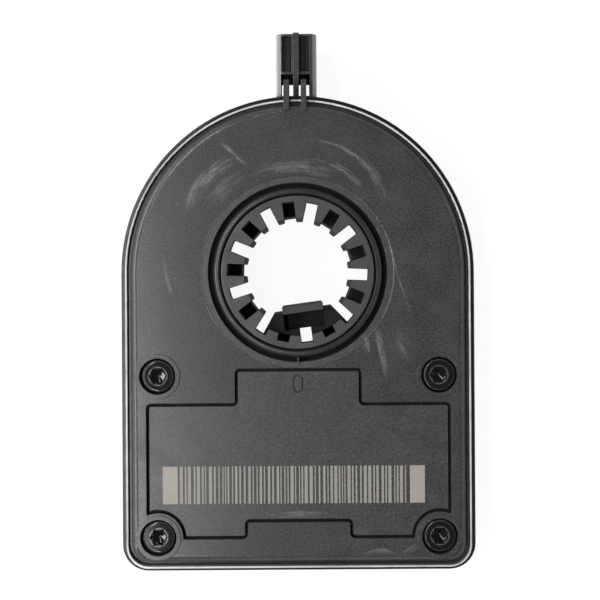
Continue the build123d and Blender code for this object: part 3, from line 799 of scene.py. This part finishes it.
@dataclass(frozen=True)
class SinteredFerrite:
    """Ferrite powder, pressed and sintered: a dull charcoal stone with fine pores."""

    name: str = "sintered_ferrite"
    body: str = "#39393c"
    pore: str = "#1d1d1f"
    # Real pores are under 0.05 mm. They are drawn at 0.25 mm, so that they show.
    pore_size: float = 0.25
    pore_depth: float = 0.01

    def build(self) -> bpy.types.Material:
        """Makes the material.

        Returns:
            The finished material.
        """
        s = Surface(self.name)
        pores = s.add("ShaderNodeTexVoronoi", {"Vector": s.mm, "Scale": 1 / self.pore_size})
        depth = s.add("ShaderNodeMapRange", {0: pores, 2: 0.35, 3: 1.0, 4: 0.0})
        rough = s.add("ShaderNodeMapRange", {0: depth, 3: 0.5, 4: 0.7})
        return s.finish(depth, (self.body, self.pore), pores, self.pore_depth, Roughness=rough, IOR=2.2)


@dataclass(frozen=True)
class PlatedMetal:
    """Drawn or turned metal with a plated skin, which mirrors softly and tarnishes in patches."""

    name: str
    bright: str
    dull: str
    smooth: float
    rough: float
    patch: float = 1.2
    # Drawing lines are about 0.02 mm apart. They are drawn at 0.15 mm, so that they show.
    line: float = 0.15
    line_depth: float = 0.002

    def build(self) -> bpy.types.Material:
        """Makes the material.

        Returns:
            The finished material.
        """
        s = Surface(self.name)
        tarnish = s.add("ShaderNodeTexNoise", {"Vector": s.mm, "Scale": 1 / self.patch, "Detail": 4.0})
        lines = s.add("ShaderNodeTexNoise", {"Vector": s.mm, "Scale": 1 / self.line, "Detail": 1.0})
        rough = s.add("ShaderNodeMapRange", {0: tarnish, 1: 0.3, 2: 0.7, 3: self.smooth, 4: self.rough})
        tones = self.bright, self.dull
        return s.finish(tarnish, tones, lines, self.line_depth, Roughness=rough, Metallic=1.0)


@dataclass(frozen=True)
class BlackenedSteel:
    """Cold-headed steel in a black passivated zinc skin.

    The eye sees a glossy black head, with rings of metal worn bare round the recess and along the head's
    edge, whose brightness is partly painted highlight for the glints there.
    """

    name: str = "black_passivated_steel"
    black: str = "#151516"
    bare: str = "#c0bfbc"
    head_width: float = 7.2
    mouth_radius: float = 1.93
    mouth_reach: float = 0.22
    mouth_wear_and_highlight: float = 0.3
    edge_radius: float = 3.42
    edge_reach: float = 0.38
    edge_wear_and_highlight: float = 0.6
    bevel: float = 0.12
    chips_per_mm: float = 2.2
    grains_per_mm: float = 5.0
    grain_depth: float = 0.003
    smooth: float = 0.08
    rough: float = 0.34

    def build(self) -> bpy.types.Material:
        """Makes the material.

        Returns:
            The finished material.
        """
        s = Surface(self.name)
        spread = s.add("ShaderNodeTexCoord", out="Generated")
        from_middle = s.add("ShaderNodeVectorMath", {0: spread, 1: (0.5, 0.5, 0.0)}, operation="SUBTRACT")
        scale = (self.head_width, self.head_width, 0.0)
        flat = s.add("ShaderNodeVectorMath", {0: from_middle, 1: scale}, operation="MULTIPLY")
        radius = s.add("ShaderNodeVectorMath", {0: flat}, out="Value", operation="LENGTH")
        chips = s.add("ShaderNodeTexNoise", {"Vector": s.mm, "Scale": self.chips_per_mm, "Detail": 3.0})
        # The two bare rings are wear, and partly painted highlight where the head glints.
        mouth = self.ring(s, radius, chips, self.mouth_radius, self.mouth_reach, self.mouth_wear_and_highlight)
        edge = self.ring(s, radius, chips, self.edge_radius, self.edge_reach, self.edge_wear_and_highlight)
        bare = s.highest(mouth, edge)
        grain = s.add("ShaderNodeTexNoise", {"Vector": s.mm, "Scale": self.grains_per_mm, "Detail": 2.0})
        polish = {0: bare, 1: 0.1, 2: 0.5, 3: self.smooth, 4: self.rough}
        return s.finish(
            bare,
            (self.black, self.bare),
            grain,
            self.grain_depth,
            edge=self.bevel,
            Metallic=s.add("ShaderNodeMapRange", {0: bare, 1: 0.1, 2: 0.4}),
            Roughness=s.add("ShaderNodeMapRange", polish),
        )

    @staticmethod
    def ring(
        s: Surface,
        radius: Socket,
        chips: Socket,
        middle: float,
        reach: float,
        bareness: float,
    ) -> Socket:
        """Adds a ring from which the black is chipped.

        Args:
            s: The surface.
            radius: The distance from the screw's axis.
            chips: Noise that breaks the ring up.
            middle: The ring's radius.
            reach: How far it reaches on both sides.
            bareness: How bare it is at most.

        Returns:
            How bare the metal is.
        """
        share = s.add("ShaderNodeMapRange", {0: chips, 1: 0.3, 2: 0.55, 3: bareness / 2, 4: bareness})
        return s.add("ShaderNodeMath", {0: s.window(radius, middle, reach), 1: share}, operation="MULTIPLY")


@dataclass(frozen=True)
class SolderMask:
    """Green solder mask, screen printed over copper tracks on glass-filled epoxy laminate.

    The eye sees a glossy deep green, paler over the tracks, tinned dots and straw-coloured sides.
    """

    name: str = "solder_mask_on_laminate"
    mask: str = "#0f4527"
    track: str = "#1f6a3c"
    tin: str = "#b9b6ab"
    laminate: str = "#8b8450"
    block: float = 7.0
    pitch: float = 0.9
    hole_spacing: float = 3.6
    hole_share: float = 0.11
    track_height: float = 0.02

    def build(self) -> bpy.types.Material:
        """Makes the material.

        Returns:
            The finished material.
        """
        s = Surface(self.name)
        cells = {"Vector": s.mm, "Scale": 1 / self.block}
        blocks = s.add("ShaderNodeTexVoronoi", cells, out="Color", distance="CHEBYCHEV")
        turned = s.add("ShaderNodeMath", {0: blocks, 1: 0.5}, operation="GREATER_THAN")
        bands = {"Vector": s.mm, "Scale": 1 / (WAVE * self.pitch)}
        upright, level = (s.add("ShaderNodeTexWave", bands, out=1, bands_direction=axis) for axis in "XY")
        tracks = s.add("ShaderNodeMix", {0: turned, 2: upright, 3: level}, data_type="FLOAT")
        tracks = s.add("ShaderNodeMapRange", {0: tracks, 1: 0.62, 2: 0.72})
        greens = {0: tracks, 6: linear(self.mask), 7: linear(self.track)}
        green = s.add("ShaderNodeMix", greens, out=2, data_type="RGBA")
        holes = {"Vector": s.mm, "Scale": 1 / self.hole_spacing, "Randomness": 0.9}
        dots = s.add("ShaderNodeTexVoronoi", holes)
        tinned = s.add("ShaderNodeMath", {0: dots, 1: self.hole_share}, operation="LESS_THAN")
        faced = s.add("ShaderNodeMix", {0: tinned, 6: green, 7: linear(self.tin)}, out=2, data_type="RGBA")
        sides = s.add("ShaderNodeMath", {0: s.steepness, 1: 0.5}, operation="LESS_THAN")
        rough = s.add("ShaderNodeMapRange", {0: sides, 3: 0.28, 4: 0.7})
        tones = faced, self.laminate
        return s.finish(sides, tones, tracks, self.track_height, Roughness=rough, IOR=1.5)


@dataclass(frozen=True)
class BandedPart:
    """A small electronic part whose lower band is bare metal and whose upper band is moulded epoxy.

    The eye sees a dull dark body next to tinned leads or a drawn can.
    """

    name: str
    metal: str
    moulding: str
    height: float
    mottle: float = 0.4
    mottle_depth: float = 0.006

    def build(self) -> bpy.types.Material:
        """Makes the material.

        Returns:
            The finished material.
        """
        s = Surface(self.name)
        upper = s.add("ShaderNodeMath", {0: s.place["Z"], 1: self.height}, operation="GREATER_THAN")
        mottle = s.add("ShaderNodeTexNoise", {"Vector": s.mm, "Scale": 1 / self.mottle, "Detail": 2.0})
        return s.finish(
            upper,
            (self.metal, self.moulding),
            mottle,
            self.mottle_depth,
            light=s.add("ShaderNodeMapRange", {0: mottle, 1: 0.3, 2: 0.7, 3: 0.85, 4: 1.15}),
            Metallic=s.add("ShaderNodeMapRange", {0: upper, 3: 1.0, 4: 0.0}),
            Roughness=s.add("ShaderNodeMapRange", {0: upper, 3: 0.3, 4: 0.6}),
        )


@dataclass(frozen=True)
class FiredCeramic:
    """A fired ceramic block with tinned ends: a dry brown body between two bright caps."""

    name: str = "fired_ceramic_with_tinned_ends"
    body: str = "#8d7355"
    cap: str = "#bcb9b1"
    cap_share: float = 0.22
    speckle: float = 0.25
    speckle_depth: float = 0.006

    def build(self) -> bpy.types.Material:
        """Makes the material.

        Returns:
            The finished material.
        """
        s = Surface(self.name)
        spread = s.add("ShaderNodeTexCoord", out="Generated")
        length = s.add("ShaderNodeSeparateXYZ", {0: spread}, out="X")
        offset = s.add("ShaderNodeMath", {0: length, 1: 0.5}, operation="SUBTRACT")
        offset = s.add("ShaderNodeMath", {0: offset}, operation="ABSOLUTE")
        capped = s.add("ShaderNodeMath", {0: offset, 1: 0.5 - self.cap_share}, operation="GREATER_THAN")
        speckle = s.add("ShaderNodeTexNoise", {"Vector": s.mm, "Scale": 1 / self.speckle, "Detail": 3.0})
        return s.finish(
            capped,
            (self.body, self.cap),
            speckle,
            self.speckle_depth,
            light=s.add("ShaderNodeMapRange", {0: speckle, 1: 0.3, 2: 0.7, 3: 0.85, 4: 1.1}),
            Metallic=capped,
            Roughness=s.add("ShaderNodeMapRange", {0: capped, 3: 0.65, 4: 0.35}),
        )


def dress(frame: dict[str, Any], names: list[str], material: bpy.types.Material) -> None:
    """Gives nodes of the frame their material.

    Args:
        frame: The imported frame.
        names: The nodes.
        material: The material.
    """
    for name in names:
        mesh = frame["nodes"][name].data
        mesh.materials.clear()
        mesh.materials.append(material)
        LOG.info("%s wears %s", name, material.name)


def starting_with(frame: dict[str, Any], start: str) -> list[str]:
    """Lists the nodes whose names start with some letters.

    Args:
        frame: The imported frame.
        start: The letters.

    Returns:
        The nodes' names.
    """
    return [name for name in frame["nodes"] if name.startswith(start)]


@dataclass
class CodeField:
    """The laser-marked field of plain bars between two solid blocks on the cover's panel."""

    left: float = -29.1
    right: float = 26.9
    low: float = -49.4
    high: float = -41.4
    block_width: float = 3.2
    below_collar: float = 0.7
    rise: float = 0.03
    sunk: float = 0.02
    bar_widths: tuple[float, ...] = (0.24, 0.36, 0.5, 0.66)
    gap_widths: tuple[float, ...] = (0.3, 0.42, 0.6)
    seed: int = 11
    blocks: LaserFoamedPolyester = LaserFoamedPolyester(Marking.BLOCK)
    bars: LaserFoamedPolyester = LaserFoamedPolyester(Marking.BAR)

    def spans(self) -> list[tuple[float, float]]:
        """Works out where the blocks and bars are.

        Returns:
            The left and right side of each.
        """
        chance = random.Random(self.seed)
        start, end = self.left + self.block_width, self.right - self.block_width
        spans = [(self.left, start), (end, self.right)]
        x = start + chance.choice(self.gap_widths)
        while True:
            width = chance.choice(self.bar_widths)
            if x + width > end - self.gap_widths[0]:
                return spans
            spans.append((x, x + width))
            x += width + chance.choice(self.gap_widths)

    def build(self) -> bpy.types.Object:
        """Builds the field on the panel's floor.

        Returns:
            The field, as one object.
        """
        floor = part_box("rear_cover")[1][2] / MM - self.below_collar
        mesh = bmesh.new()
        for index, (left, right) in enumerate(self.spans()):
            height = floor + (self.rise - self.sunk) / 2
            middle = Vector(((left + right) / 2, (self.low + self.high) / 2, height))
            size = Vector((right - left, self.high - self.low, self.rise + self.sunk))
            cube = bmesh.ops.create_cube(mesh, matrix=Matrix.LocRotScale(middle * MM, None, size * MM))
            # The first two spans are the solid blocks, and the others are the bars.
            for face in {face for vertex in cube["verts"] for face in vertex.link_faces}:
                face.material_index = int(index > 1)
        data = bpy.data.meshes.new("code_field")
        mesh.to_mesh(data)
        mesh.free()
        data.materials.append(self.blocks.build())
        data.materials.append(self.bars.build())
        piece = bpy.data.objects.new("code_field", data)
        bpy.context.scene.collection.objects.link(piece)
        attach(piece, "housing")
        LOG.info("code_field has %d bars", len(self.spans()) - 2)
        return piece


@dataclass
class Housing:
    """The front housing, the rear cover with its marked field, and the cover's screws."""

    shell: CrestedShell = CrestedShell()
    cover: RubbedCover = RubbedCover()
    screws: BlackenedSteel = BlackenedSteel()

    def build(self, frame: dict[str, Any]) -> None:
        """Dresses the nodes and adds the marked field.

        Args:
            frame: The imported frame.
        """
        dress(frame, ["front_housing"], self.shell.build())
        dress(frame, ["rear_cover"], self.cover.build())
        dress(frame, starting_with(frame, "cover_screw"), self.screws.build())
        CodeField().build()


@dataclass
class HubAndGears:
    """The slotted hub, the two measuring gears that follow it, and their magnets."""

    hub: SlottedHub = SlottedHub()
    gears: MouldedAcetal = MouldedAcetal()
    magnets: SinteredFerrite = SinteredFerrite()

    def build(self, frame: dict[str, Any]) -> None:
        """Dresses the nodes.

        Args:
            frame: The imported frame.
        """
        dress(frame, ["hub"], self.hub.build())
        dress(frame, starting_with(frame, "measuring_gear"), self.gears.build())
        dress(frame, starting_with(frame, "magnet"), self.magnets.build())


@dataclass
class Electronics:
    """The circuit board, what is soldered to it, and the terminal pins."""

    lead_thickness: float = 0.3
    capacitor_base: float = 0.8
    board: SolderMask = SolderMask()
    resonator: PlatedMetal = PlatedMetal("drawn_nickel_silver", "#b9b6ad", "#9b978d", 0.18, 0.3)
    pins: PlatedMetal = PlatedMetal("tinned_brass", "#c4c0b4", "#a39d8d", 0.22, 0.4)
    capacitors: FiredCeramic = FiredCeramic()

    def build(self, frame: dict[str, Any]) -> None:
        """Dresses the nodes.

        Args:
            frame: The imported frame.
        """
        board_low, board_high = (corner[2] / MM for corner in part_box("circuit_board"))
        lead_top, can_top = board_high + self.lead_thickness, board_low - self.capacitor_base
        chips = BandedPart("moulded_epoxy_on_tinned_leads", "#b3b0a7", "#19191b", lead_top)
        can = BandedPart("drawn_aluminium_on_a_moulded_base", "#b4b6b8", "#1b1b1c", can_top)
        dress(frame, ["circuit_board"], self.board.build())
        moulded = ["controller_chip", "bus_transceiver", "voltage_regulator", "angle_chip_a", "angle_chip_b"]
        dress(frame, moulded, chips.build())
        dress(frame, ["buffer_capacitor"], can.build())
        dress(frame, ["resonator"], self.resonator.build())
        dress(frame, starting_with(frame, "capacitor_"), self.capacitors.build())
        dress(frame, starting_with(frame, "terminal_pin"), self.pins.build())


@dataclass(frozen=True)
class SoftBox:
    """A large soft lamp that points at the object, longest along Y. Place and size are in metres."""

    name: str
    place: tuple[float, float, float]
    size: tuple[float, float]
    watts: float

    def build(self, target: Vector) -> None:
        """Adds the lamp.

        Args:
            target: What it points at.
        """
        lamp = bpy.data.lights.new(self.name, "AREA")
        lamp.shape = "RECTANGLE"
        lamp.size, lamp.size_y = self.size
        lamp.energy = self.watts
        box = bpy.data.objects.new(self.name, lamp)
        box.location = self.place
        box.rotation_euler = (target - box.location).to_track_quat("-Z", "Y").to_euler()
        box.visible_camera = False
        bpy.context.scene.collection.objects.link(box)
        LOG.info("%s gives %.1f W", self.name, self.watts)


@dataclass
class Studio:
    """The pale table, the air, the lamps and the camera, which looks straight down on the cover.

    The table's size and its gap to the object are in metres.
    """

    camera_height: float = 235.3
    view_width: float = 128.2
    picture_width: int = 600
    hub_pixel: tuple[float, float] = (297.65, 272.2)
    roll: float = -0.37
    sensor: float = 36.0
    table_size: float = 3.0
    table_gap: float = 0.00005
    table_glow: float = 0.93
    table_colour: str = "#626262"
    horizon_low: float = 0.1
    horizon_high: float = 0.4
    fill: float = 0.22
    overhead: float = 0.15
    lamps: tuple[SoftBox, ...] = (
        SoftBox("upper_left_strip", (-0.15, -0.03, 0.49), (0.8, 0.04), 1.4),
        SoftBox("low_left_box", (-0.28, 0.0, 0.22), (0.42, 0.08), 1.1),
        SoftBox("right_box", (0.42, 0.0, 0.22), (0.42, 0.14), 0.25),
    )

    def build(self) -> None:
        """Builds the whole studio."""
        low, high = (Vector(corner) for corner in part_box("rear_cover"))
        target = (low + high) / 2
        self.table()
        self.air()
        for lamp in self.lamps:
            lamp.build(target)
        self.camera(high.z - CodeField.below_collar * MM)

    def background_ray(self, tree: bpy.types.NodeTree) -> Socket:
        """Tells the rays that see the background, straight, in metal or through glass.

        Args:
            tree: The tree that gets the nodes.

        Returns:
            1 for such a ray, or 0.
        """
        rays = add_node(tree, "ShaderNodeLightPath").node.outputs
        seen = rays["Is Camera Ray"]
        for other in (rays["Is Glossy Ray"], rays["Is Transmission Ray"]):
            seen = add_node(tree, "ShaderNodeMath", {0: seen, 1: other}, operation="MAXIMUM")
        return seen

    def table(self) -> None:
        """Adds the table: white to the camera, with the object's shadow, and clear from below."""
        data = bpy.data.meshes.new("table")
        half = self.table_size / 2
        corners = [(x * half, y * half, -self.table_gap) for x, y in ((-1, -1), (1, -1), (1, 1), (-1, 1))]
        data.from_pydata(corners, [], [range(4)])
        finish = bpy.data.materials.new("pale_table")
        finish.use_nodes = True
        tree = finish.node_tree
        tree.nodes.clear()
        matt = add_node(tree, "ShaderNodeBsdfDiffuse", {"Color": linear(self.table_colour)})
        glow = add_node(tree, "ShaderNodeEmission", {"Strength": self.table_glow})
        lit = add_node(tree, "ShaderNodeAddShader", {0: matt, 1: glow})
        shown = add_node(tree, "ShaderNodeMixShader", {0: self.background_ray(tree), 1: matt, 2: lit})
        below = add_node(tree, "ShaderNodeNewGeometry", out="Backfacing")
        clear = add_node(tree, "ShaderNodeBsdfTransparent")
        one_sided = add_node(tree, "ShaderNodeMixShader", {0: below, 1: shown, 2: clear})
        add_node(tree, "ShaderNodeOutputMaterial", {"Surface": one_sided})
        data.materials.append(finish)
        top = bpy.data.objects.new("table", data)
        bpy.context.scene.collection.objects.link(top)

    def air(self) -> None:
        """Adds the air.

        Seen or mirrored, it is white round the horizon and dimmer above. To other rays it is an even fill.
        """
        world = bpy.data.worlds.new("studio_air")
        world.use_nodes = True
        bpy.context.scene.world = world
        tree = world.node_tree
        tree.nodes.clear()
        direction = add_node(tree, "ShaderNodeTexCoord", out="Generated")
        height = add_node(tree, "ShaderNodeSeparateXYZ", {0: direction}, out="Z")
        limits = {0: height, 1: self.horizon_low, 2: self.horizon_high, 3: 1.0, 4: self.overhead}
        fade = add_node(tree, "ShaderNodeMapRange", limits, interpolation_type="SMOOTHSTEP")
        backdrop = add_node(tree, "ShaderNodeBackground", {"Strength": fade})
        fill = add_node(tree, "ShaderNodeBackground", {"Strength": self.fill})
        shown = add_node(tree, "ShaderNodeMixShader", {0: self.background_ray(tree), 1: fill, 2: backdrop})
        add_node(tree, "ShaderNodeOutputWorld", {"Surface": shown})

    def camera(self, cover_height: float) -> None:
        """Adds the camera straight over the hub, shifted so that the hub falls where the photograph has it.

        Args:
            cover_height: The height of the cover's face, in metres, where view_width holds.
        """
        data = bpy.data.cameras.new("camera")
        data.sensor_width = self.sensor
        data.lens = self.sensor * (self.camera_height - cover_height / MM) / self.view_width
        data.clip_start = 0.01
        middle = self.picture_width / 2
        data.shift_x = (middle - self.hub_pixel[0]) / self.picture_width
        data.shift_y = (self.hub_pixel[1] - middle) / self.picture_width
        camera = bpy.data.objects.new("camera", data)
        camera.location = (0.0, 0.0, self.camera_height * MM)
        camera.rotation_euler = (0.0, 0.0, math.radians(self.roll))
        bpy.context.scene.collection.objects.link(camera)
        bpy.context.scene.camera = camera


def main() -> None:
    """Builds the dressed sensor and its studio."""
    logging.basicConfig(level=logging.INFO, format="%(message)s")
    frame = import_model()
    Housing().build(frame)
    HubAndGears().build(frame)
    Electronics().build(frame)
    Studio().build()
    bpy.context.scene.view_settings.view_transform = "Standard"


if __name__ == "__main__":
    main()
